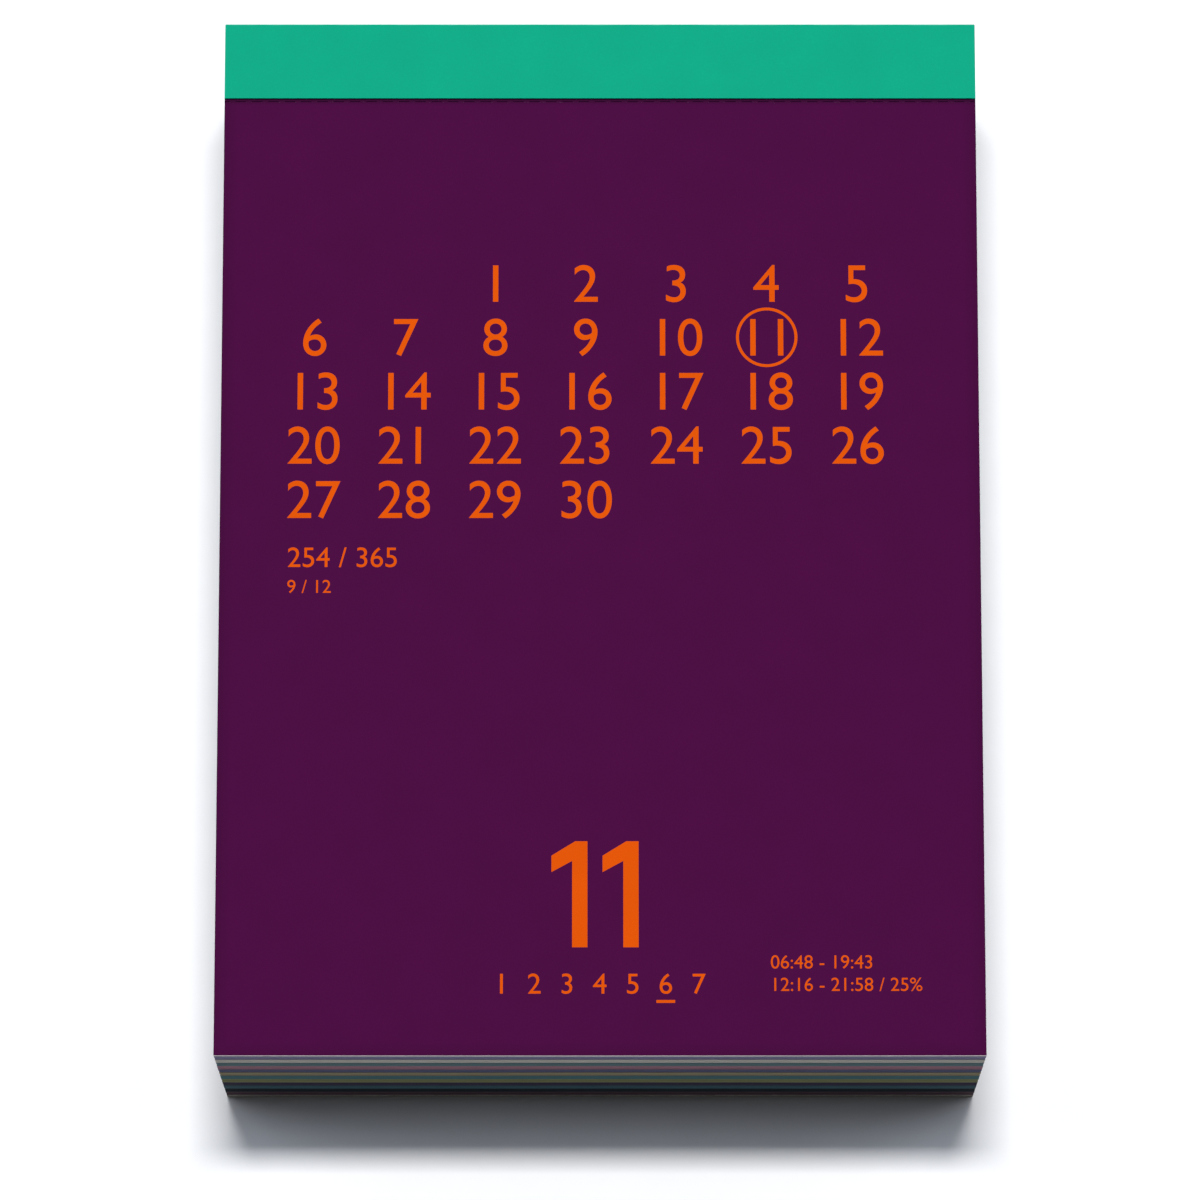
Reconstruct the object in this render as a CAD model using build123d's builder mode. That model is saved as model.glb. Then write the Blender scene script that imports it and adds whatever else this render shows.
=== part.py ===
"""Tear-off day calendar: a year of dated sheets, glued at the head to a grey board under a folded strip.

The block lies on its back. X runs across the page, +Y towards the head of the page and +Z out of the page.
The origin is the centre of the back face. All sizes are in millimetres.
"""

import os
from calendar import mdays, month_name

from build123d import *

# Page and block
page_width = 115.0
block_height = 160.0  # from the foot to the outside of the head strip
sheet_thickness = 0.1
sheet_air = 0.005  # air left between two pressed sheets
month_days = {month_name[m].lower(): mdays[m] for m in range(1, 13)}  # one sheet a day

# Grey board at the back
board_thickness = 1.8

# Folded strip over the head, and the glue under it
strip_thickness = 0.4
strip_front_height = 11.9
strip_back_height = 15.0
glue_thickness = 0.4

# Day sheet on show, and the perforation that it tears along
day_thickness = 0.3
tear_margin = 0.35  # how far the perforation lies below the strip's front edge
slit_width = 0.08  # of a cut, along the page
slit_length = 1.6  # cut between two ties
tie_width = 0.9
tie_root = 0.12  # how far a tie reaches into the leaf, where it tears out
tie_clearance = 0.01  # between a tie and each side of its notch in the leaf

# Places that follow from these sizes
foot_y = -block_height / 2
head_outside_y = block_height / 2
head_inside_y = head_outside_y - strip_thickness
sheet_head_y = head_inside_y - glue_thickness
strip_front_y = head_outside_y - strip_front_height
strip_back_y = head_outside_y - strip_back_height
crease_y = strip_front_y - tear_margin
tear_y = crease_y - slit_width
root_y = tear_y - tie_root

sheet_pitch = sheet_thickness + sheet_air
sheet_count = sum(month_days.values())
stack_top_z = board_thickness + sheet_count * sheet_pitch
day_top_z = stack_top_z + day_thickness
day_plane = Plane.XY.offset(stack_top_z)

tie_pitch = tie_width + slit_length
tie_count = int((page_width - tie_width) // tie_pitch) + 1
slit_count = tie_count - 1


def finish(builder, name):
    """Label a finished piece, write it to its own file and say what it holds."""
    builder.part.label = name
    export_step(builder.part, f"parts/{name}.step")
    solids = builder.part.solids()
    print(f"{name}: {len(solids)} solids, {sum(s.volume for s in solids):.1f} mm3")


def page_rectangle(low_y, high_y):
    """Add a rectangle as wide as the page, between two heights on it, to the sketch in hand."""
    with Locations((0, (low_y + high_y) / 2)):
        Rectangle(page_width, high_y - low_y)


def perforation_row(low_y, high_y, width, count, mode=Mode.ADD):
    """Add a row of rectangles, between two heights on the page, to the sketch in hand, or cut it out of that."""
    with Locations((0, (low_y + high_y) / 2)):
        with GridLocations(tie_pitch, high_y - low_y, count, 1):
            Rectangle(width, high_y - low_y, mode=mode)


def back_board():
    """Grey board, pressed in by the strip's thickness where the strip folds over its back."""
    with BuildPart() as board:
        with BuildSketch():
            page_rectangle(foot_y, sheet_head_y)
        extrude(amount=board_thickness)
        with BuildSketch():
            page_rectangle(strip_back_y, sheet_head_y)
        extrude(amount=strip_thickness, mode=Mode.SUBTRACT)
    finish(board, "back_board")


def month_sheets(month, days, lowest_z, perforate_top):
    """One month as a stack of separate sheets. The top sheet can have its perforation cut through it."""
    sheet_planes = [Plane.XY.offset(lowest_z + i * sheet_pitch) for i in range(days)]
    with BuildPart() as pad:
        with BuildSketch(*sheet_planes):
            page_rectangle(foot_y, sheet_head_y)
        extrude(amount=sheet_thickness)
        if perforate_top:
            with BuildSketch(sheet_planes[-1]):
                perforation_row(tear_y, crease_y, slit_length, slit_count)
            extrude(amount=sheet_thickness, mode=Mode.SUBTRACT)
    finish(pad, f"{month}_sheets")


def year_of_sheets():
    """Twelve months from the board up: the last month lies lowest and the first on top."""
    lowest_z = board_thickness + sheet_air
    months = list(month_days)
    for month in reversed(months):
        month_sheets(month, month_days[month], lowest_z, perforate_top=month == months[0])
        lowest_z += month_days[month] * sheet_pitch


def day_sheet_stub():
    """The head of the day sheet, which stays in the binding."""
    with BuildPart() as stub:
        with BuildSketch(day_plane):
            page_rectangle(crease_y, sheet_head_y)
        extrude(amount=day_thickness)
    finish(stub, "day_sheet_stub")


def perforation_ties():
    """The row of paper ties, between cut slits, that holds the leaf to its stub."""
    with BuildPart() as ties:
        with BuildSketch(day_plane):
            perforation_row(root_y, crease_y, tie_width, tie_count)
        extrude(amount=day_thickness)
    finish(ties, "perforation_ties")


def day_sheet_leaf():
    """The leaf that tears off. Each tie pulls out of a notch in its head edge."""
    with BuildPart() as leaf:
        with BuildSketch(day_plane):
            page_rectangle(foot_y, tear_y)
            perforation_row(root_y, tear_y, tie_width + 2 * tie_clearance, tie_count, Mode.SUBTRACT)
        extrude(amount=day_thickness)
    finish(leaf, "day_sheet_leaf")


def head_glue():
    """Glue film that holds the head edges of the board, the sheets and the stub."""
    with BuildPart() as glue:
        with BuildSketch(Plane.XY.offset(strip_thickness)):
            page_rectangle(sheet_head_y, head_inside_y)
        extrude(amount=day_top_z - strip_thickness)
    finish(glue, "head_glue")


def head_strip():
    """Card strip folded over the head: short in front, longer behind, round at its two outer folds."""
    with BuildPart() as strip:
        with BuildSketch(Plane.YZ):
            with BuildLine():
                Polyline(
                    (strip_front_y, day_top_z),
                    (head_inside_y, day_top_z),
                    (head_inside_y, strip_thickness),
                    (strip_back_y, strip_thickness),
                )
                offset(amount=strip_thickness, side=Side.LEFT, kind=Kind.ARC)
            make_face()
        extrude(amount=page_width / 2, both=True)
    finish(strip, "head_strip")


os.makedirs("parts", exist_ok=True)
back_board()
year_of_sheets()
day_sheet_stub()
perforation_ties()
day_sheet_leaf()
head_glue()
head_strip()
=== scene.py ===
# %% [markdown]
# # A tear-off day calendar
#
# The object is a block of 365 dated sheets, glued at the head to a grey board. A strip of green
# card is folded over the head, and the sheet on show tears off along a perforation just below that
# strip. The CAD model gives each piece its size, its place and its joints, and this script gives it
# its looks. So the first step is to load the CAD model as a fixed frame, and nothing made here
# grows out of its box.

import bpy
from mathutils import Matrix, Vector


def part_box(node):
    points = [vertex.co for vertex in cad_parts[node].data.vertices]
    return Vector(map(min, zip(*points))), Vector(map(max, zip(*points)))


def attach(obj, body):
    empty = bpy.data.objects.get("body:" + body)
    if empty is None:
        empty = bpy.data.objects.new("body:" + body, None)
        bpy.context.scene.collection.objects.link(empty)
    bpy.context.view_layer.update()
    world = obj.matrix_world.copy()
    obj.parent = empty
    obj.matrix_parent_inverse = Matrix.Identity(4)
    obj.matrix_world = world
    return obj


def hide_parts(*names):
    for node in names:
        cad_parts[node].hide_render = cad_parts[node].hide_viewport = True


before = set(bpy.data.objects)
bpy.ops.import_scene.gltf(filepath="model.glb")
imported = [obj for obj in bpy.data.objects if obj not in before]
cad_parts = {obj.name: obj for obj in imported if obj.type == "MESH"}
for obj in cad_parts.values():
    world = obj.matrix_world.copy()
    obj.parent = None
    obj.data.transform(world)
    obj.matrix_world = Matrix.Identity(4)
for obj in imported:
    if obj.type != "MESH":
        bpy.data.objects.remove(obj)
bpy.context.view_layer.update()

# %% [markdown]
# Blender works in metres, and a sheet of paper is a tenth of a millimetre thick, so sizes below are
# written as a number of millimetres. Places are read from the frame, so that a change in the CAD
# model moves the looks too. A node's box gives most of them. The front edge of the strip, and the
# spans of the paper ties and of their notches, aren't corners of a box, so they are read from the
# points of the CAD meshes.

# %% Measure the frame
from calendar import mdays, month_name
from math import cos, pi, radians, sin
from random import Random

import bmesh
import bpy
from mathutils import Matrix, Vector

mm = 0.001
slack = 0.001 * mm  # two places closer than this are the same
months = [month_name[number].lower() for number in range(1, 13)]
month_days = dict(zip(months, mdays[1:]))

leaf_low, leaf_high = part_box("day_sheet_leaf")
stub_low, stub_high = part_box("day_sheet_stub")
ties_low, ties_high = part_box("perforation_ties")
strip_low, strip_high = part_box("head_strip")
board_low, board_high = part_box("back_board")
page_top = leaf_high.z
page_half_width = leaf_high.x
crease_y = stub_low.y
tear_y = leaf_high.y
root_y = ties_low.y


def points(node):
    """The points of a node's CAD mesh."""
    return [vert.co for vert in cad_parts[node].data.vertices]


def edges_across(places):
    """How far across the page these points lie, each value once, in order and to a micrometre."""
    return sorted({round(place.x, 6) for place in places})


strip_front_y = min(p.y for p in points("head_strip") if p.z > page_top + slack)
tie_edges = edges_across(points("perforation_ties"))
notch_edges = edges_across(p for p in points("day_sheet_leaf") if abs(p.y - root_y) < slack)
tie_spans = list(zip(tie_edges[::2], tie_edges[1::2]))
slit_spans = list(zip(tie_edges[1::2], tie_edges[2::2]))
notch_spans = list(zip(notch_edges[::2], notch_edges[1::2]))
print(f"page top {page_top / mm:.3f} mm, strip front edge {strip_front_y / mm:.2f} mm")
print(f"{len(tie_spans)} ties, {len(slit_spans)} slits, {len(notch_spans)} notches")

# %% [markdown]
# ## Camera
#
# The photograph looks down on the page from just past its foot, so that the coloured edges of the
# months show below it. A close wide lens would narrow the page towards its head, so a long lens is
# used from about a metre away, which keeps the page nearly square, as it is there.

# %% Camera
sensor_width = 36.0
view_lean = radians(12.5)  # from straight above, towards the foot
eye_distance = 1.09
frame_width = 181.0 * mm  # how much the picture's width takes in at the page
aim = Vector((0, -10.5 * mm, page_top))


def look(holder, eye, target):
    """Place a camera or a light at eye, facing target."""
    holder.location = eye
    holder.rotation_mode = "QUATERNION"
    holder.rotation_quaternion = (target - eye).to_track_quat("-Z", "Y")
    bpy.context.scene.collection.objects.link(holder)


camera_data = bpy.data.cameras.new("camera")
camera_data.sensor_width = sensor_width
camera_data.lens = sensor_width * eye_distance / frame_width
camera_data.clip_start = 0.05
camera_data.clip_end = 50
camera = bpy.data.objects.new("camera", camera_data)
look(camera, aim + eye_distance * Vector((0, -sin(view_lean), cos(view_lean))), aim)
bpy.context.scene.camera = camera
print(f"lens {camera_data.lens:.0f} mm")

# %% [markdown]
# ## Light
#
# In the photograph the page is lit evenly, its foot is in the shade, and a short shadow lies on the
# floor below the foot, darkest where it touches the block. One big lamp would blur that shadow away
# and a small one would cut it out hard. So there are four: a wide, shallow lamp above, a little
# towards the head, draws the shadow's far edge, a weak one nearly straight above brightens the
# shadow away from the foot, and two soft ones, left and right behind the head, brighten its two
# ends. Those three are a little bluer than the first, like daylight that fills a room, and tint the
# shadow, which they alone reach.

# %% Light
lamp_distance = 3.2
room_glow = 0.028
white_light = (1.0, 1.0, 1.0)
daylight = (0.92, 0.99, 1.13)


def lamp(name, lean, turn, wide, deep, power, colour):
    """A lamp over the page, leaning to the head and turned to the right of that, in degrees."""
    made = bpy.data.lights.new(name, "AREA")
    made.shape = "RECTANGLE"
    made.size = wide
    made.size_y = deep
    made.energy = power
    made.color = colour
    aside = sin(radians(lean))
    direction = Vector((aside * sin(radians(turn)), aside * cos(radians(turn)), cos(radians(lean))))
    look(bpy.data.objects.new(name, made), aim + lamp_distance * direction, aim)
    print(f"{name}: {power} W, {wide} by {deep} m")


lamp("overhead_lamp", lean=12.4, turn=0, wide=0.83, deep=0.33, power=89.5, colour=white_light)
lamp("shadow_lamp", lean=3.7, turn=0, wide=0.77, deep=0.61, power=12.5, colour=daylight)
lamp("left_lamp", lean=42.6, turn=-63, wide=1.5, deep=1.5, power=13.5, colour=daylight)
lamp("right_lamp", lean=42.6, turn=63, wide=1.5, deep=1.5, power=13.5, colour=daylight)

world = bpy.data.worlds.new("studio")
world.use_nodes = True
background = world.node_tree.nodes["Background"]
background.inputs["Color"].default_value = (*white_light, 1.0)
background.inputs["Strength"].default_value = room_glow
bpy.context.scene.world = world
bpy.context.scene.view_settings.view_transform = "Standard"
print(f"{world.name}: glow {room_glow}")

# %% [markdown]
# ## Floor
#
# The block lies on a plain white table. A square would do for it, but a large disc shows no corner
# from any side.

# %% Floor
floor_radius = 8.0

floor_shape = bmesh.new()
bmesh.ops.create_circle(floor_shape, cap_ends=True, segments=96, radius=floor_radius)
floor_mesh = bpy.data.meshes.new("floor")
floor_shape.to_mesh(floor_mesh)
floor_shape.free()
floor = bpy.data.objects.new("floor", floor_mesh)
bpy.context.scene.collection.objects.link(floor)
print(f"floor {2 * floor_radius:.0f} m across")

# %% [markdown]
# ## Writing shaders as sums
#
# A material is a net of nodes. Written out link by link it is hard to read, so one small class
# holds an output of a node and lets Python's own signs add the Math nodes. Any other node comes
# from its node method.

# %% Shader helper
class Wire:
    """An output of a shader node. Sums on it add Math nodes to the same material."""

    def __init__(self, tree, socket):
        self.tree = tree
        self.socket = socket

    def node(self, kind, settings, sockets, output=0):
        """Add a node, set it up, fill or link its sockets, and return one of its outputs."""
        made = self.tree.nodes.new("ShaderNode" + kind)
        for name, value in settings.items():
            setattr(made, name, value)
        for name, value in sockets.items():
            fill(self.tree, made.inputs[name], value)
        return Wire(self.tree, made.outputs[output])

    def maths(self, operation, first, second=0.0):
        """Add a Math node."""
        return self.node("Math", {"operation": operation}, {0: first, 1: second})

    def __add__(self, other):
        return self.maths("ADD", self, other)

    def __sub__(self, other):
        return self.maths("SUBTRACT", self, other)

    def __rsub__(self, other):
        return self.maths("SUBTRACT", other, self)

    def __mul__(self, other):
        return self.maths("MULTIPLY", self, other)

    def __gt__(self, other):
        return self.maths("GREATER_THAN", self, other)

    def __abs__(self):
        return self.maths("ABSOLUTE", self)

    __radd__ = __add__
    __rmul__ = __mul__

    def step(self, low, high):
        """0 below low, 1 above high, and a smooth rise between them."""
        span = {"Value": self, "From Min": low, "From Max": high}
        return self.node("MapRange", {"interpolation_type": "SMOOTHSTEP"}, span)

    def mix(self, first, second):
        """The first colour where this is 0, the second where it is 1."""
        return self.node("Mix", {"data_type": "RGBA"}, {0: self, 6: first, 7: second}, output=2)

    def noise(self, size, detail=2.0, stretch=(1, 1, 1)):
        """Cloudy noise between 0 and 1, with lumps of about that size, read at this place."""
        place = self.node("Mapping", {"vector_type": "TEXTURE"}, {"Vector": self, "Scale": stretch})
        return self.node("TexNoise", {}, {"Vector": place, "Scale": 1 / size, "Detail": detail})

    def parts(self):
        """The x, y and z of this place."""
        split = self.node("SeparateXYZ", {}, {0: self}).socket.node
        return [Wire(self.tree, split.outputs[axis]) for axis in "XYZ"]


def fill(tree, socket, value):
    """Link a wire to a socket, or set the socket to a plain value."""
    if isinstance(value, Wire):
        tree.links.new(value.socket, socket)
    else:
        socket.default_value = value


print("signs that add Math nodes: + - * > and abs()")

# %% [markdown]
# Two more helpers start a material and finish it. Each material is a Principled shader: what is the
# same all over it, such as how shiny it is, is set on the shader itself, and what varies is linked
# to its colour, its roughness and, through a Bump node, its normal. Patterns read the place on the
# piece in the frame's own metres, so a grain of a quarter of a millimetre is that large on every
# piece.

# %% Start and finish a material
bump_strength = 0.6


def material(name, sockets):
    """A new material with constants on its shader, and the place on it that patterns read."""
    made = bpy.data.materials.new(name)
    made.use_nodes = True
    shader = made.node_tree.nodes["Principled BSDF"]
    for socket, value in sockets.items():
        shader.inputs[socket].default_value = value
    start = Wire(made.node_tree, None)
    place = start.node("TexCoord", {}, {}, output="Object")
    return made, shader, place


def finish_surface(shader, place, colour, roughness, height, depth):
    """Link what varies over a surface to its shader. Height holds the bumps, depth their size."""
    fill(place.tree, shader.inputs["Base Color"], colour)
    fill(place.tree, shader.inputs["Roughness"], roughness)
    bump = place.node("Bump", {}, {"Height": height, "Distance": depth, "Strength": bump_strength})
    fill(place.tree, shader.inputs["Normal"], bump)


print("materials vary in Base Color, Roughness and Normal")

# %% [markdown]
# ## Colours
#
# A colour picked from a picture can't go straight into a shader. A screen's numbers have to be
# turned into amounts of light, and the lamps light the page a little more than fully, to make the
# table white. So a print's colour is divided by that light, after the faint haze that matt paper
# throws back has been taken off.

# %% Colours
light_level = 1.22  # light on the page, against the light that makes a white surface just white
haze = 0.004  # light that comes back from the very surface of matt paper, whatever its colour


def amount(level):
    """One number of a screen's colour, 0 to 255, as an amount of light, by the screen's curve."""
    share = level / 255
    return share / 12.92 if share < 0.04045 else ((share + 0.055) / 1.055) ** 2.4


def linear(red, green, blue):
    """A colour as a screen shows it, turned into amounts of light."""
    return (amount(red), amount(green), amount(blue), 1.0)


def seen(red, green, blue):
    """The colour that a print needs, to look like this on the lit page."""
    return (*[max(0.0, (c - haze) / light_level) for c in linear(red, green, blue)[:3]], 1.0)


def shade(colour, factor):
    """The same colour, lighter or darker."""
    return (*[min(1.0, c * factor) for c in colour[:3]], 1.0)


violet = seen(79, 16, 68)
print("violet print:", [round(c, 4) for c in violet[:3]])

# %% [markdown]
# ## Paper and ink
#
# The sheets are uncoated paper with a flat print. Uncoated paper is matt, its fibres make a grain
# of about a quarter of a millimetre, and the ink lies a little cloudy on it, with tiny pale
# pinholes where a fibre took no ink. A picture of paper could be wrapped round each sheet, but
# noise needs no picture and has no seams. One function covers a surface with any colour in that
# way: fine fibres and wide clouds move it a few percent, pinholes lighten it, and the fibres also
# raise the surface. The back of the leaf isn't printed, but so much dark ink shows through thin
# paper as a cloudy violet grey, so it gets a paper of its own.

# %% Paper and ink
matt = {"Specular IOR Level": 0.06}
noise_range = (0.3, 0.7)  # nearly all of a noise lies between these two values
fibre_size = 0.22 * mm
fibre_depth = 0.02 * mm
cloud_size = 7 * mm
pinhole_size = 0.12 * mm
pinhole_peaks = (0.66, 0.76)  # only the few peaks of a noise reach these values
pinhole_strength = 0.25
pinhole_paleness = 1.8


def covered(place, colour, variation, clouds=0.45):
    """The fibres of a sheet, and a colour that lies on them a little cloudy and with pinholes."""
    fibres = place.noise(fibre_size, detail=4)
    tone = (1 - clouds) * fibres + clouds * place.noise(cloud_size)
    cloudy = tone.step(*noise_range).mix(shade(colour, 1 - variation), shade(colour, 1 + variation))
    pinholes = place.noise(pinhole_size, detail=1).step(*pinhole_peaks)
    return fibres, (pinhole_strength * pinholes).mix(cloudy, shade(colour, pinhole_paleness))


def paper(name, colour, variation, clouds=0.45):
    """Plain or printed paper of one colour."""
    made, shader, place = material(name, matt)
    fibres, cover = covered(place, colour, variation, clouds)
    rough = 0.7 + 0.2 * fibres
    finish_surface(shader, place, cover, roughness=rough, height=fibres, depth=fibre_depth)
    return made


bare_paper = paper("bare_paper", linear(226, 220, 217), variation=0.03, clouds=0.15)
leaf_back = paper("leaf_back", linear(216, 207, 212), variation=0.035, clouds=0.7)
orange_ink = paper("orange_ink", seen(235, 90, 12), variation=0.04)
plum_ink = paper("plum_ink", seen(66, 36, 92), variation=0.05)
print("paper and ink:", bare_paper.name, leaf_back.name, orange_ink.name, plum_ink.name)

# %% [markdown]
# A page that is printed right to its edges gets painted shade: its colour is a little darker along
# the cut sides and the foot, and darkest in the last millimetre below the strip, a painted shadow
# of the strip. How far a point is from those edges follows from its place alone, so no picture has
# to be painted for it.

# %% Printed pages
edge_shade_width = 2.4 * mm
painted_edge_shade = 0.84
strip_shadow_width = 1.1 * mm
strip_shadow_factor = 0.5


def printed_page(name, colour, variation):
    """A page printed to its edges, with painted shade along them and a painted shadow below the
    strip.
    """
    made, shader, place = material(name, matt)
    fibres, ink = covered(place, colour, variation)
    x, y, _ = place.parts()
    from_side = page_half_width - abs(x)
    margin = from_side.maths("MINIMUM", from_side, y - leaf_low.y)
    # Painted shade: the page is darker along its cut sides and its foot.
    page_with_shaded_edges = margin.step(0.0, edge_shade_width).mix(shade(colour, painted_edge_shade), ink)
    # Painted shadow of the strip: the page is darkest just below it.
    painted_strip_shadow = (strip_front_y - y).step(0.0, strip_shadow_width)
    cover = painted_strip_shadow.mix(shade(colour, strip_shadow_factor), page_with_shaded_edges)
    rough = 0.66 + 0.2 * fibres
    finish_surface(shader, place, cover, roughness=rough, height=fibres, depth=fibre_depth)
    return made


violet_page = printed_page("violet_page", violet, variation=0.04)
lavender_page = printed_page("lavender_page", seen(142, 140, 178), variation=0.03)
print("pages:", violet_page.name, lavender_page.name)

# %% [markdown]
# ## Making pieces
#
# Each new piece is modelled in a bmesh, at its own place in the frame, and then becomes an object
# that rides on a CAD body. Where it shows what a CAD node stands for, it replaces that node. Most
# pieces here are blocks, or flat sheets that are drawn out to their thickness. Hardly any real edge
# is quite sharp, so one more helper bevels them.

# %% Blocks and sheets
def block(shape, low, high):
    """Add a block between two corners to the shape."""
    verts = bmesh.ops.create_cube(shape, size=1.0)["verts"]
    bmesh.ops.scale(shape, vec=high - low, verts=verts)
    bmesh.ops.translate(shape, vec=(low + high) / 2, verts=verts)


def flat_sheet(shape, low, high, columns, rows):
    """Add a flat grid at the height of low, between two corners, and return its vertices."""
    verts = bmesh.ops.create_grid(shape, x_segments=columns, y_segments=rows, size=0.5)["verts"]
    bmesh.ops.scale(shape, vec=(high.x - low.x, high.y - low.y, 1), verts=verts)
    bmesh.ops.translate(shape, vec=((low.x + high.x) / 2, (low.y + high.y) / 2, low.z), verts=verts)
    return verts


def thicken(shape, faces, vec):
    """Draw faces out along vec to a solid, and return the vertices at its far side."""
    parts = bmesh.ops.extrude_face_region(shape, geom=faces, use_keep_orig=True)["geom"]
    verts = [part for part in parts if isinstance(part, bmesh.types.BMVert)]
    bmesh.ops.translate(shape, vec=vec, verts=verts)
    return verts


def break_edges(shape, edges, width, segments):
    """Bevel sharp edges a little, as wear or a knife does."""
    bmesh.ops.bevel(
        shape,
        geom=edges,
        offset=width,
        affect="EDGES",
        segments=segments,
        profile=0.5,
        material=-1,
    )


def piece(shape, name, body, materials, node=None):
    """Turn a finished bmesh into an object that rides on a body."""
    mesh = bpy.data.meshes.new(name)
    shape.to_mesh(mesh)
    shape.free()
    for made in materials:
        mesh.materials.append(made)
    holder = bpy.data.objects.new(name, mesh)
    bpy.context.scene.collection.objects.link(holder)
    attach(holder, body)
    if node:
        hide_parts(node)
    print(f"{name}: {len(mesh.polygons)} faces on {body}")


# %% [markdown]
# The perforation needs openings in flat sheets: notches in the leaf and slits in the sheet below
# it. Cutting them with solids would leave the result to a Boolean. It is surer to cut the sheet's
# faces along the lines of the openings, and to delete the faces inside them, before the sheet gets
# its thickness. The faces of a finished sheet then get the print or the bare paper by the way they
# face.

# %% Openings and inked faces
up = Vector((0, 0, 1))
across = Vector((1, 0, 0))
to_head = Vector((0, 1, 0))
to_foot = Vector((0, -1, 0))


def between(face, low_y, high_y):
    """Whether some of a face lies between two heights on the page."""
    heights = [vert.co.y for vert in face.verts]
    return min(heights) < high_y - slack and max(heights) > low_y + slack


def cut_out(shape, spans, low_y, high_y):
    """Cut a row of openings out of a flat sheet: spans across the page, between two heights."""
    lines = [((0, y, 0), to_head) for y in (low_y, high_y)]
    lines += [((x, 0, 0), across) for span in spans for x in span]
    for point, way in lines:
        row = [face for face in shape.faces if between(face, low_y, high_y)]
        edges = dict.fromkeys(edge for face in row for edge in face.edges)
        verts = dict.fromkeys(vert for face in row for vert in face.verts)
        geom = [*row, *edges, *verts]
        bmesh.ops.bisect_plane(shape, geom=geom, plane_co=point, plane_no=way, dist=slack)
    gone = []
    for face in shape.faces:
        x = face.calc_center_median().x
        if between(face, low_y, high_y) and any(left < x < right for left, right in spans):
            gone.append(face)
    bmesh.ops.delete(shape, geom=gone, context="FACES")
    print(f"{len(spans)} openings cut out, {len(shape.faces)} faces left")


def facing(face, way):
    """Whether a face points more or less this way."""
    return face.normal.dot(way) > 0.9


def ink_faces(shape, *ways):
    """Faces that point one of these ways take the first material, and all others the second."""
    bmesh.ops.recalc_face_normals(shape, faces=shape.faces)
    for face in shape.faces:
        face.material_index = 0 if any(facing(face, way) for way in ways) else 1


print(f"perforation from {root_y / mm:.2f} to {crease_y / mm:.2f} mm up the page")

# %% [markdown]
# ## The leaf that tears off
#
# A sheet that is held at its head for weeks doesn't stay dead flat: its foot corners curl up a
# little. A cloth simulation could bend it, but paper this small bends by a simple rule. So the leaf
# starts as a grid, gets the notches that its ties tear out of, is drawn down by its thickness, and
# each point is lifted by an amount that grows towards those corners. The curl stays lower than the
# strip, so the box doesn't grow. The knife breaks the print along the foot, so the top edge there
# is bevelled, and shows a light line of bare paper. Bare paper also shows at the bottoms of the
# notches, where the leaf tears.

# %% Leaf
foot_curl = 0.26 * mm
curl_at_middle = 0.25  # of the foot, as a share of the curl at its corners
trimmed_edge = 0.06 * mm
leaf_height = leaf_high.y - leaf_low.y


def curl(x, y):
    """How far the leaf has lifted from the block at a point of the page."""
    down = (leaf_high.y - y) / leaf_height
    out = abs(x) / page_half_width
    return foot_curl * down**4 * (curl_at_middle + (1 - curl_at_middle) * out**2)


def on_foot_edge(vert):
    """Whether a point lies on the top edge of the leaf's foot."""
    return vert.co.y < leaf_low.y + slack and vert.co.z > page_top - slack


leaf = bmesh.new()
flat_sheet(leaf, Vector((leaf_low.x, leaf_low.y, leaf_high.z)), leaf_high, columns=28, rows=36)
cut_out(leaf, notch_spans, root_y, tear_y)
thicken(leaf, leaf.faces[:], (0, 0, leaf_low.z - leaf_high.z))
foot_edges = [edge for edge in leaf.edges if all(on_foot_edge(vert) for vert in edge.verts)]
break_edges(leaf, foot_edges, trimmed_edge, segments=1)
for vert in leaf.verts:
    vert.co.z += curl(vert.co.x, vert.co.y)
# The top takes the print; the head edge, which faces into the slits, takes the print's colour as
# painted shade.
ink_faces(leaf, up, to_head)
for face in leaf.faces:
    if facing(face, to_head) and face.calc_center_median().y < tear_y - slack:
        face.material_index = 1
    if facing(face, -up):
        face.material_index = 2
day_paper = [violet_page, bare_paper]
leaf_papers = [*day_paper, leaf_back]
piece(leaf, "day_leaf_sheet", "day_leaf", leaf_papers, "day_sheet_leaf")

# %% [markdown]
# ## Stub and ties
#
# Above the leaf the same sheet goes on as a stub under the strip, and between the two stand the
# paper ties that the perforation leaves. A comb-shaped outline could hold them all, but a small
# block for each is simpler. Their spans come from the CAD model, because the leaf has to tear just
# there. The walls of the narrow slits get the dark colour of the print, as painted shade inside the
# cuts, but the ends of the ties, which tear, are bare.

# %% Stub and ties
tie_gap = 0.002 * mm  # between the end of a tie and the bottom of its notch

stub = bmesh.new()
flat_sheet(stub, stub_low, stub_high, columns=12, rows=2)
thicken(stub, stub.faces[:], (0, 0, stub_high.z - stub_low.z))
# The top takes the print; the stub's edge that faces into the slits takes the print's colour as
# painted shade.
ink_faces(stub, up, to_foot)
piece(stub, "day_stub_sheet", "block", day_paper, "day_sheet_stub")

ties = bmesh.new()
for left, right in tie_spans:
    tie_end = Vector((left, root_y + tie_gap, ties_low.z))
    block(ties, tie_end, Vector((right, crease_y, ties_high.z)))
# The ties' sides face into the slits and take the print's colour as painted shade.
ink_faces(ties, up, across, -across, to_head)
piece(ties, "perforation_row", "tear_line", day_paper, "perforation_ties")

# %% [markdown]
# ## Setting numbers in ink
#
# The page is laid out like a plain date sheet, in numbers only. Type is made with Blender's own
# text object and turned into a mesh at once, so that it can follow the curl of its page. All of it
# is a film of ink, about a hundredth of a millimetre high, because a film that lies on the page
# keeps its sharp edges at any distance.

# %% Setting numbers in ink
ink_height = 0.012 * mm
digit_share = 0.682  # height of a digit, as a share of the size of its type


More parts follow.
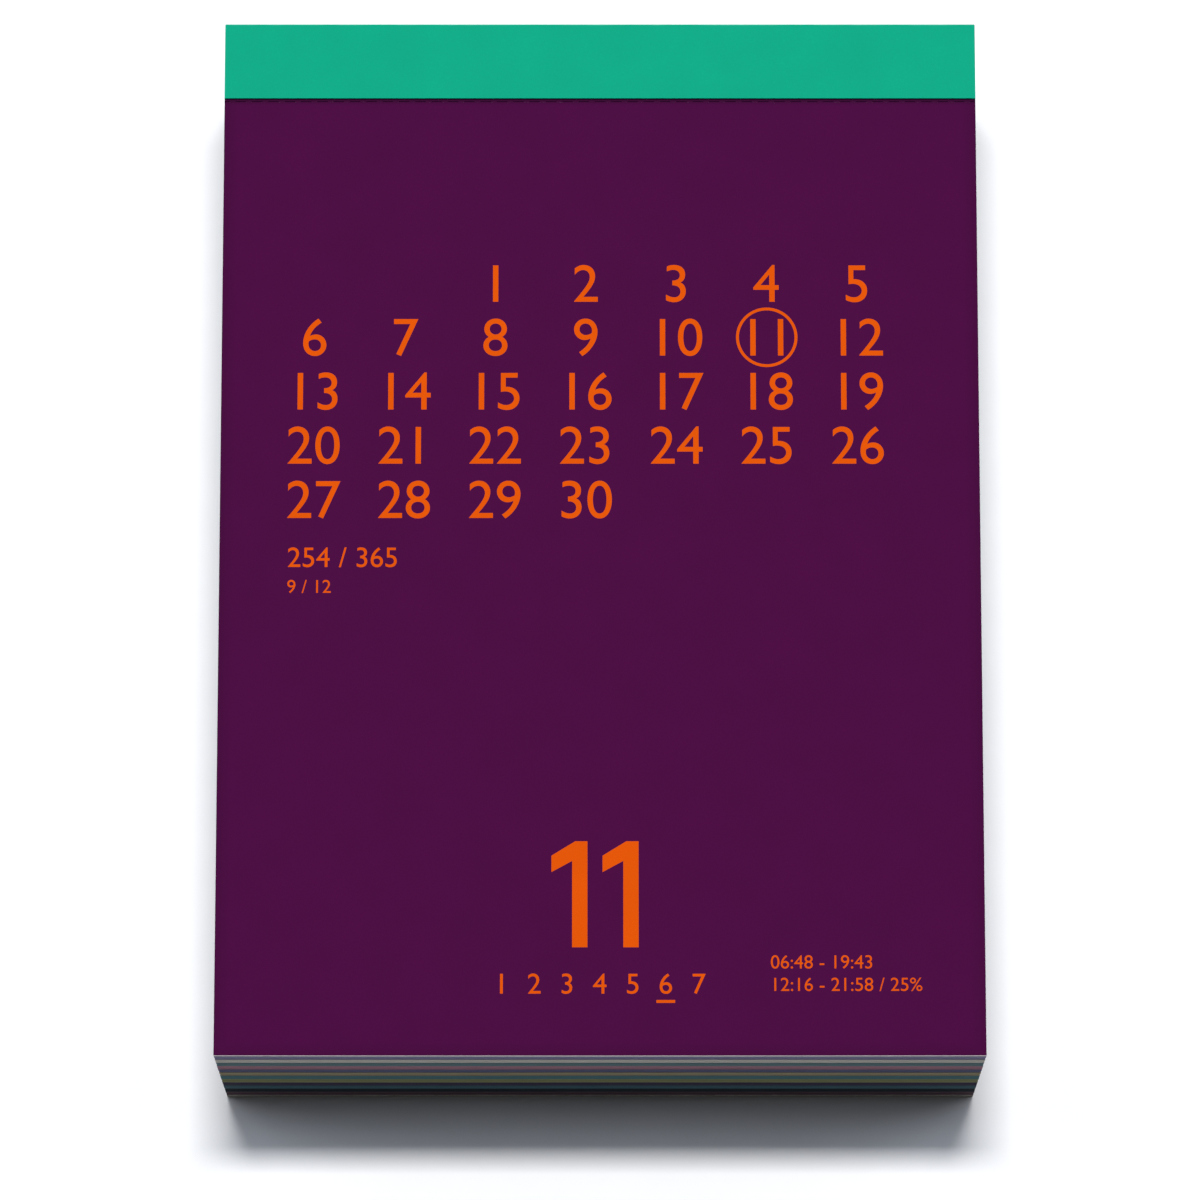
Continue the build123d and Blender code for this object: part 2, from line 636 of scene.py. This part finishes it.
def typed(shape, line, size, x, y, align="LEFT"):
    """Set a line of numbers, as a flat film, with its baseline at x and y."""
    curve = bpy.data.curves.new("type", "FONT")
    curve.body = line
    curve.size = size
    curve.align_x = align
    curve.extrude = ink_height
    setter = bpy.data.objects.new("type", curve)
    mesh = bpy.data.meshes.new_from_object(setter)
    mesh.transform(Matrix.Translation((x, y, 0)))
    shape.from_mesh(mesh)
    bpy.data.objects.remove(setter)
    bpy.data.curves.remove(curve)
    bpy.data.meshes.remove(mesh)


def lay_on(shape, height):
    """Lay a shape of ink on a page, where height gives the page's height at a point."""
    for vert in shape.verts:
        vert.co.z += height(vert.co.x, vert.co.y)
    bmesh.ops.remove_doubles(shape, verts=shape.verts, dist=slack)
    bmesh.ops.recalc_face_normals(shape, faces=shape.faces)


print(f"ink {2 * ink_height / mm:.3f} mm high, half of it in the paper")

# %% [markdown]
# The date is a large numeral of ones. Blender's own 1 is a bare bar, so this one is drawn as an
# outline with a slanting flag. The date is also marked in the grid of days with a ring, which is
# spun from a single short edge.

# %% Large date and ring
numeral_height = 16.1 * mm
numeral_base = -63.6 * mm
numeral_pitch = 7.65 * mm
date_centre = -0.75 * mm
stem = 2.3 * mm
flag_start = 0.46 * mm  # how far in from the stem's left side the flag's slant starts
flag_reach = 3.1 * mm  # how far it stands out to the left
flag_top = 2.2 * mm  # from the top of the numeral down to where its outer end starts
flag_foot = 4.7 * mm  # and down to where that ends
flag_root = 3.0 * mm  # and down to where its underside meets the stem
ring_radius = 4.45 * mm
ring_width = 0.45 * mm


def large_date(shape, ones):
    """The large date: a row of ones, each an upright stem with a slanting flag on its left."""
    row_width = (ones - 1) * numeral_pitch + stem + flag_reach
    top = numeral_base + numeral_height
    for place in range(ones):
        right = date_centre + row_width / 2 - place * numeral_pitch
        left = right - stem
        outline = [
            (left, numeral_base),
            (right, numeral_base),
            (right, top),
            (left + flag_start, top),
            (left - flag_reach, top - flag_top),
            (left - flag_reach, top - flag_foot),
            (left, top - flag_root),
        ]
        face = shape.faces.new([shape.verts.new((x, y, -ink_height)) for x, y in outline])
        thicken(shape, [face], (0, 0, 2 * ink_height))


def ring(shape, x, y):
    """A ring of ink round a point of the page."""
    radii = (ring_radius - ring_width / 2, ring_radius + ring_width / 2)
    ends = [shape.verts.new((x + radius, y, -ink_height)) for radius in radii]
    geom = [shape.edges.new(ends), *ends]
    known = set(shape.faces)
    centre = (x, y, 0)
    bmesh.ops.spin(shape, geom=geom, cent=centre, axis=up, angle=2 * pi, steps=72, use_merge=True)
    thicken(shape, [face for face in shape.faces if face not in known], (0, 0, 2 * ink_height))


print(f"numerals {numeral_height / mm:.1f} mm high")

# %% [markdown]
# A whole page is set from top to foot: the days of the month in seven columns, the day of the year
# and the month in small type, the large date, the seven days of the week, and two lines of hours.
# The places of all these are measured from the middle of the block, as places in the frame are.

# %% Layout of a page
text_left = -47.3 * mm
column_pitch = 13.75 * mm
first_column_x = text_left + 3.9 * mm  # half a number of two digits further in
row_pitch = 8.45 * mm
grid_top = 36.0 * mm
day_size = 8.4 * mm
small_size = 4.4 * mm
tiny_size = 2.9 * mm
year_base = -5.4 * mm
month_base = -9.4 * mm
weekday_pitch = 4.9 * mm
weekday_base = -70.6 * mm
bar_half_width = 1.4 * mm
bar_top = weekday_base - 0.95 * mm
bar_foot = weekday_base - 1.4 * mm
hours_x = 25.4 * mm
hours_bases = (-66.8 * mm, -70.2 * mm)
print(f"columns {column_pitch / mm:.2f} mm apart, rows {row_pitch / mm:.2f} mm")

# %% [markdown]
# Each page could be set by itself, but one function sets any of them, because the page below the
# leaf needs its own numbers. The date gets a ring in the grid of days, and its day of the week a
# bar. The day's numbers are then laid on the curled leaf, and ride with it.

# %% Numbers on a page
def date_page(ones, days, first_column, day_of_year, month_of_year, hours):
    """All the numbers of one page, lying at height 0. Its date is a row of ones, such as 11."""
    shape = bmesh.new()
    date = int("1" * ones)
    for day in range(1, days + 1):
        row, column = divmod(day - 1 + first_column, 7)
        x = first_column_x + column * column_pitch
        y = grid_top - row * row_pitch
        typed(shape, str(day), day_size, x, y, "CENTER")
        if day == date:
            ring(shape, x, y + digit_share * day_size / 2)
            today = column + 1
    typed(shape, day_of_year, small_size, text_left, year_base)
    typed(shape, month_of_year, tiny_size, text_left, month_base)
    large_date(shape, ones)
    for weekday in range(1, 8):
        x = (weekday - 4) * weekday_pitch
        typed(shape, str(weekday), small_size, x, weekday_base, "CENTER")
        if weekday == today:
            bar_low = Vector((x - bar_half_width, bar_foot, -ink_height))
            block(shape, bar_low, Vector((x + bar_half_width, bar_top, ink_height)))
    for line, base in zip(hours, hours_bases):
        typed(shape, line, tiny_size, hours_x, base)
    return shape


day_numbers = date_page(
    ones=2,
    days=30,
    first_column=2,
    day_of_year="254 / 365",
    month_of_year="9 / 12",
    hours=("06:48 - 19:43", "12:16 - 21:58 / 25%"),
)
lay_on(day_numbers, lambda x, y: page_top + curl(x, y))
piece(day_numbers, "day_numbers", "day_leaf", [orange_ink])

# %% [markdown]
# ## Sheets by the hundred
#
# Each month is printed in its own colour, and the trimmed edges of the block show them as bands. A
# trimmed block is never as sharp as one solid: sheets settle in little bundles, a few stand back by
# a tenth of a millimetre, and the whole stack waves slightly. A bump map could hint at that, but
# not at the corners. So every sheet is made by itself, from a grid a few faces wide, with an inset
# that drifts from sheet to sheet. The foot is trimmed closest, so it gets only about a third of
# that inset, and its bands stay even. Each sheet also carries a tone of its own for its material to
# read.

# %% Sheets
sheet_share = 0.9  # of the space from one sheet to the next
stack_wave = 0.12 * mm
wave_length = 71 * mm
wave_start = 0.8
largest_inset = 0.16 * mm
foot_share = 0.35  # of a sheet's inset, at the foot, where the knife trims closest
bundle_sheets = (2, 7)  # the fewest and the most sheets in a bundle
stack_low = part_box("december_sheets")[0].z
stack_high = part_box("january_sheets")[1].z
chance = Random(365)


def wave(x, z):
    """How far a sheet at height z is out of level at x. Nothing at the board and under the leaf."""
    level = (z - stack_low) / (stack_high - stack_low)
    return stack_wave * sin(pi * level) * sin(2 * pi * x / wave_length + wave_start)


def add_sheet(shape, low, high, inset, tone_layer, tone):
    """One sheet between two corners, cut back by its inset at the sides and the foot."""
    low = low + Vector((inset, foot_share * inset, 0))
    high = high - Vector((inset, 0, 0))
    under = flat_sheet(shape, low, high, columns=6, rows=1)
    faces = list(dict.fromkeys(face for vert in under for face in vert.link_faces))
    top = thicken(shape, faces, (0, 0, high.z - low.z))
    for vert in under + top:
        vert.co.z += wave(vert.co.x, low.z)
        for face in vert.link_faces:
            face[tone_layer] = tone


def month_pad(month, days, materials):
    """So many separate sheets of a month, from its lowest one up."""
    node = f"{month}_sheets"
    low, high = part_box(node)
    pitch = (high.z - low.z) / month_days[month]
    shape = bmesh.new()
    tone_layer = shape.faces.layers.float.new("sheet_tone")
    bundle = 0
    bundle_inset = 0.0
    for day in range(days):
        if bundle == 0:
            bundle = chance.randint(*bundle_sheets)
            # The square keeps most bundles near the front, with a few well back.
            bundle_inset = chance.uniform(0.1, 1.0) ** 2 * largest_inset
        bundle -= 1
        sheet_low = Vector((low.x, low.y, low.z + day * pitch))
        sheet_high = Vector((high.x, high.y, sheet_low.z + sheet_share * pitch))
        inset = bundle_inset * chance.uniform(0.7, 1.0)
        add_sheet(shape, sheet_low, sheet_high, inset, tone_layer, chance.random())
    bmesh.ops.recalc_face_normals(shape, faces=shape.faces)
    piece(shape, f"{month}_pad", "block", materials, node)


print(f"{sum(month_days.values())} sheets, from {stack_low / mm:.2f} to {stack_high / mm:.2f} mm")

# %% [markdown]
# ## Trimmed edges of the months
#
# On its cut edge a sheet shows a little of its print and a little of the white inside, so the bands
# are duller than the pages. Stripes on one block could give such bands, but they would miss the
# edges of the sheets. So every month has its own paper, each sheet has its own tone, and the knife
# leaves fine streaks along the stack. Every sheet has the same perforation as the one on show, and
# its paper is painted dark along that line, as painted shade inside the cuts, where they run out at
# the sides and where they show through the open slits of the sheets above.

# %% Trimmed edges
# The edge colour of each month; those of the later months, which lie lowest, are also set darker,
# as painted shade of the foot's lower part.
month_colours_and_shade = {
    "january": linear(115, 113, 143),
    "february": linear(178, 175, 168),
    "march": linear(88, 114, 119),
    "april": linear(151, 111, 125),
    "may": linear(75, 79, 105),
    "june": linear(132, 123, 98),
    "july": linear(65, 102, 108),
    "august": linear(117, 121, 83),
    "september": linear(57, 52, 71),
    "october": linear(54, 82, 91),
    "november": linear(30, 41, 47),
    "december": linear(80, 62, 71),
}
streak_size = 0.35 * mm
edge_levels = (0.2, 0.8)  # the darkest and the lightest part of an edge lie at these values
edge_contrast = 0.22
edge_relief = 0.02 * mm
tear_middle = (tear_y + crease_y) / 2
perforation_half_width = 0.05 * mm
painted_cut_shade = 0.3


def cut_paper(name, colour):
    """Coloured paper seen on its trimmed edges, with a tone for each sheet."""
    made, shader, place = material(name, matt)
    fibres = place.noise(fibre_size, detail=3)
    own = place.node("Attribute", {"attribute_name": "sheet_tone"}, {}, output="Fac")
    streaks = place.noise(streak_size, detail=2, stretch=(8, 8, 0.4))
    level = 0.45 * own + 0.35 * streaks + 0.2 * fibres
    dark, light = shade(colour, 1 - edge_contrast), shade(colour, 1 + edge_contrast)
    edge = level.step(*edge_levels).mix(dark, light)
    _, y, _ = place.parts()
    # Painted shade: a dark line across every sheet, for the shade inside the perforation cuts.
    uncut = abs(y - tear_middle) > perforation_half_width
    cover = uncut.mix(shade(colour, painted_cut_shade), edge)
    relief = fibres + streaks
    rough = 0.75 + 0.2 * fibres
    finish_surface(shader, place, cover, roughness=rough, height=relief, depth=edge_relief)
    return made


month_papers = {month: cut_paper(f"{month}_sheet", month_colours_and_shade[month]) for month in months}
for month in months[1:]:
    month_pad(month, month_days[month], [month_papers[month]])
month_pad("january", month_days["january"] - 1, [month_papers["january"]])

# %% [markdown]
# ## The page below the leaf
#
# When the leaf is lifted or torn off, the first sheet of the year shows, so it gets the same care.
# It is one flat face with its slits cut out of it, before it gets its thickness: they are open, and
# lie exactly under those of the day sheet.

# %% First sheet of the year
first_gap = 0.015 * mm  # room for the ink on it, below the leaf
first_thickness = 0.09 * mm
first_low, first_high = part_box("january_sheets")
first_top = first_high.z - first_gap
first_corner = Vector((first_low.x, first_low.y, first_top - first_thickness))

first_sheet = bmesh.new()
flat_sheet(first_sheet, first_corner, first_high, columns=1, rows=1)
cut_out(first_sheet, slit_spans, tear_y, crease_y)
thicken(first_sheet, first_sheet.faces[:], (0, 0, first_thickness))
ink_faces(first_sheet, up)
first_papers = [lavender_page, month_papers["january"]]
piece(first_sheet, "january_first_sheet", "block", first_papers, "january_sheets")

first_numbers = date_page(
    ones=1,
    days=31,
    first_column=4,
    day_of_year="1 / 365",
    month_of_year="1 / 12",
    hours=("08:17 - 16:02", "18:25 - 10:53 / 97%"),
)
lay_on(first_numbers, lambda x, y: first_top)
piece(first_numbers, "first_day_numbers", "block", [plum_ink])

# %% [markdown]
# ## Green card
#
# The strip is smooth card, dyed green. Where it is bent over the head its surface has cracked a
# little, and the card shows paler there. On the head itself it is glued over the edges of all the
# sheets, which press through it as faint ridges, in bundles as they lie. The ridges could be
# modelled, but they are far lower than the card is thick, so a bump that is stretched along the
# sheets is enough.

# %% Green card
fold_radius = 0.42 * mm
crack_size = 0.9 * mm
crack_levels = (0.35, 0.75)  # of a noise, from the smooth card to the middle of a crack
crack_strength = 0.3
bundle_width = 1.6 * mm
ridge_width = 0.4 * mm
ridge_share = 0.35  # of a bundle's height
card_relief = 0.12 * mm
strip_middle_z = (strip_low.z + strip_high.z) / 2
strip_half_height = (strip_high.z - strip_low.z) / 2


def green_card():
    """Smooth dyed card, paler where its folds have cracked, and ridged where sheets press on it."""
    made, shader, place = material("green_card", matt)
    fibres, flat = covered(place, seen(17, 174, 136), variation=0.035)
    _, y, z = place.parts()
    on_head = (y - strip_high.y).step(-fold_radius, -0.5 * fold_radius)
    from_fold = abs(z - strip_middle_z) - strip_half_height
    at_fold = from_fold.step(-1.2 * fold_radius, -0.4 * fold_radius)
    cracks = place.noise(crack_size, detail=3, stretch=(4, 1, 1)).step(*crack_levels)
    cover = (crack_strength * on_head * at_fold * cracks).mix(flat, linear(96, 196, 168))
    bundles = place.noise(bundle_width, detail=1, stretch=(30, 1, 1))
    ridges = bundles + ridge_share * place.noise(ridge_width, detail=2, stretch=(60, 1, 1))
    relief = 0.1 * fibres + on_head * ridges
    rough = 0.6 + 0.2 * fibres
    finish_surface(shader, place, cover, roughness=rough, height=relief, depth=card_relief)
    return made


strip_card = green_card()
print("card:", strip_card.name)

# %% [markdown]
# ## Head strip
#
# The strip is one length of card, folded over the head. A thin block could be bent round it, but it
# is easier to make it the way it is folded: a cut edge is drawn out along the front flap, spun
# through a quarter turn at each fold, and drawn on down the head and along the back. The sheet that
# this leaves is then given its thickness, and its cut edges are broken a little so that they catch
# the light.

# %% Head strip
page_clearance = 0.01 * mm  # between the strip and the page
card_thickness = strip_high.z - page_top - page_clearance
cut_edge_bevel = 0.05 * mm
fold_y = strip_high.y - fold_radius


def draw_on(shape, edge, vec):
    """Draw an edge out to a strip of faces, and return its far edge."""
    parts = bmesh.ops.extrude_edge_only(shape, edges=[edge])["geom"]
    verts = [part for part in parts if isinstance(part, bmesh.types.BMVert)]
    bmesh.ops.translate(shape, vec=vec, verts=verts)
    edges = [part for part in parts if isinstance(part, bmesh.types.BMEdge)]
    return next(edge for edge in edges if set(edge.verts) == set(verts))


def fold_over(shape, edge, centre):
    """Turn an edge by a quarter turn about a line across the page, and return its far edge."""
    geom = [edge, *edge.verts]
    turned = bmesh.ops.spin(shape, geom=geom, cent=centre, axis=-across, angle=pi / 2, steps=6)
    return next(part for part in turned["geom_last"] if isinstance(part, bmesh.types.BMEdge))


strip = bmesh.new()
corners = [(x, strip_front_y, strip_high.z) for x in (strip_low.x, strip_high.x)]
cut_edge = strip.edges.new([strip.verts.new(corner) for corner in corners])
flap_end = draw_on(strip, cut_edge, (0, fold_y - strip_front_y, 0))
head_start = fold_over(strip, flap_end, (0, fold_y, strip_high.z - fold_radius))
head_end = draw_on(strip, head_start, (0, 0, strip_low.z - strip_high.z + 2 * fold_radius))
back_start = fold_over(strip, head_end, (0, fold_y, strip_low.z + fold_radius))
draw_on(strip, back_start, (0, strip_low.y - fold_y, 0))
bmesh.ops.remove_doubles(strip, verts=strip.verts, dist=slack)
bmesh.ops.recalc_face_normals(strip, faces=strip.faces)
bmesh.ops.solidify(strip, geom=strip.faces[:], thickness=card_thickness)
sharp_edges = [edge for edge in strip.edges if edge.calc_face_angle(0.0) > radians(60)]
break_edges(strip, sharp_edges, cut_edge_bevel, segments=2)
piece(strip, "folded_strip", "block", [strip_card], "head_strip")

# %% [markdown]
# ## Back board
#
# Grey board is pressed from waste paper, so it is full of dark and pale flecks, and its cut edge
# shows thin layers. Three noises make it: fibres, flecks, and layers that are stretched flat. It
# has hardly any relief, because the board is rolled smooth.

# %% Grey board
board_fibre_size = 0.5 * mm
fleck_size = 0.7 * mm
dark_flecks = (0.66, 0.74)  # only the peaks of a noise reach these values
pale_flecks = (0.26, 0.33)  # and only its pits these
layer_size = 0.3 * mm
board_relief = 0.02 * mm


def grey_board():
    """Grey board with flecks, and layers on its cut edges."""
    made, shader, place = material("flecked_board", matt)
    fibres = place.noise(board_fibre_size, detail=4, stretch=(2.5, 1, 1))
    flecks = place.noise(fleck_size, detail=1, stretch=(2.2, 1, 0.5))
    layers = place.noise(layer_size, detail=1, stretch=(12, 12, 0.5))
    pulp = 0.6 * fibres + 0.4 * layers
    ground = pulp.step(*noise_range).mix(linear(132, 127, 119), linear(168, 163, 154))
    dark = flecks.step(*dark_flecks).mix(ground, linear(102, 98, 93))
    cover = (1 - flecks.step(*pale_flecks)).mix(dark, linear(188, 184, 174))
    relief = fibres + 0.3 * layers
    rough = 0.85 + 0.1 * fibres
    finish_surface(shader, place, cover, roughness=rough, height=relief, depth=board_relief)
    return made


flecked_board = grey_board()
print("board:", flecked_board.name)

# %% [markdown]
# The board itself is a profile, with the step that the strip's back flap lies in, drawn out across
# the page. Its edges are broken, because a plain block would look too sharp beside the soft sheets.

# %% Back board
board_edge = 0.12 * mm
step_y = strip_low.y
step_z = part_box("head_glue")[0].z
profile = [
    (board_low.y, board_low.z),
    (step_y, board_low.z),
    (step_y, step_z),
    (board_high.y, step_z),
    (board_high.y, board_high.z),
    (board_low.y, board_high.z),
]

board = bmesh.new()
side = board.faces.new([board.verts.new((board_low.x, y, z)) for y, z in profile])
thicken(board, [side], (board_high.x - board_low.x, 0, 0))
bmesh.ops.recalc_face_normals(board, faces=board.faces)
break_edges(board, board.edges[:], board_edge, segments=2)
piece(board, "flecked_back_board", "block", [flecked_board], "back_board")

# %% [markdown]
# ## Glue and table
#
# The glue that holds the head edges only shows at its two ends, as a thin line between the sheets
# and the strip, so it keeps its CAD shape and gets a finish: dried white glue, a little shiny and
# uneven. The table is plain white, a little uneven too, so that it doesn't look painted.

# %% Glue and table
lump_size = 1.4 * mm
glue_relief = 0.05 * mm


def dried_glue():
    """Dried white glue, a little shiny and uneven."""
    made, shader, place = material("dried_glue", {"Specular IOR Level": 0.4})
    lumps = place.noise(lump_size, detail=3)
    cover = lumps.step(*noise_range).mix(linear(206, 198, 178), linear(228, 222, 208))
    rough = 0.3 + 0.25 * lumps
    finish_surface(shader, place, cover, roughness=rough, height=lumps, depth=glue_relief)
    return made


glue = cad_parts["head_glue"]
glue.data.materials.clear()
glue.data.materials.append(dried_glue())
floor_mesh.materials.append(paper("white_table", linear(250, 250, 251), variation=0.01))
print("finished:", glue.name, "and", floor.name)
